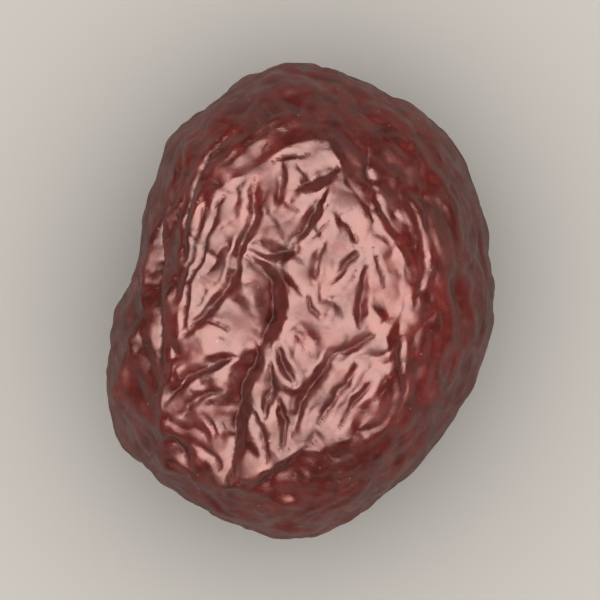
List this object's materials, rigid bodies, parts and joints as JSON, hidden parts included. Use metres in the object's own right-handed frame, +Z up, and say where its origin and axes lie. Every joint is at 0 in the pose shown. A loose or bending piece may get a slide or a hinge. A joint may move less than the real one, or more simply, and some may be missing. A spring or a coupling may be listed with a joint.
{
  "type": "jujube",
  "caption": "Small dried jujube fruit lying on its side, an oval with a wrinkled maroon skin, a hollow stem-end scar and a dimpled blossom end.",
  "frame": {"origin": "middle of the fruit's box, on the surface that it rests on", "axes": "+Y along the core towards the stem end, +Z up from the flat resting spot, +X across the fruit"},
  "size_m": [0.0186, 0.023, 0.017],
  "materials": {
    "jujube_skin": "satin"
  },
  "bodies": {
    "root": {"jujube": "jujube_skin"}
  },
  "joints": []
}
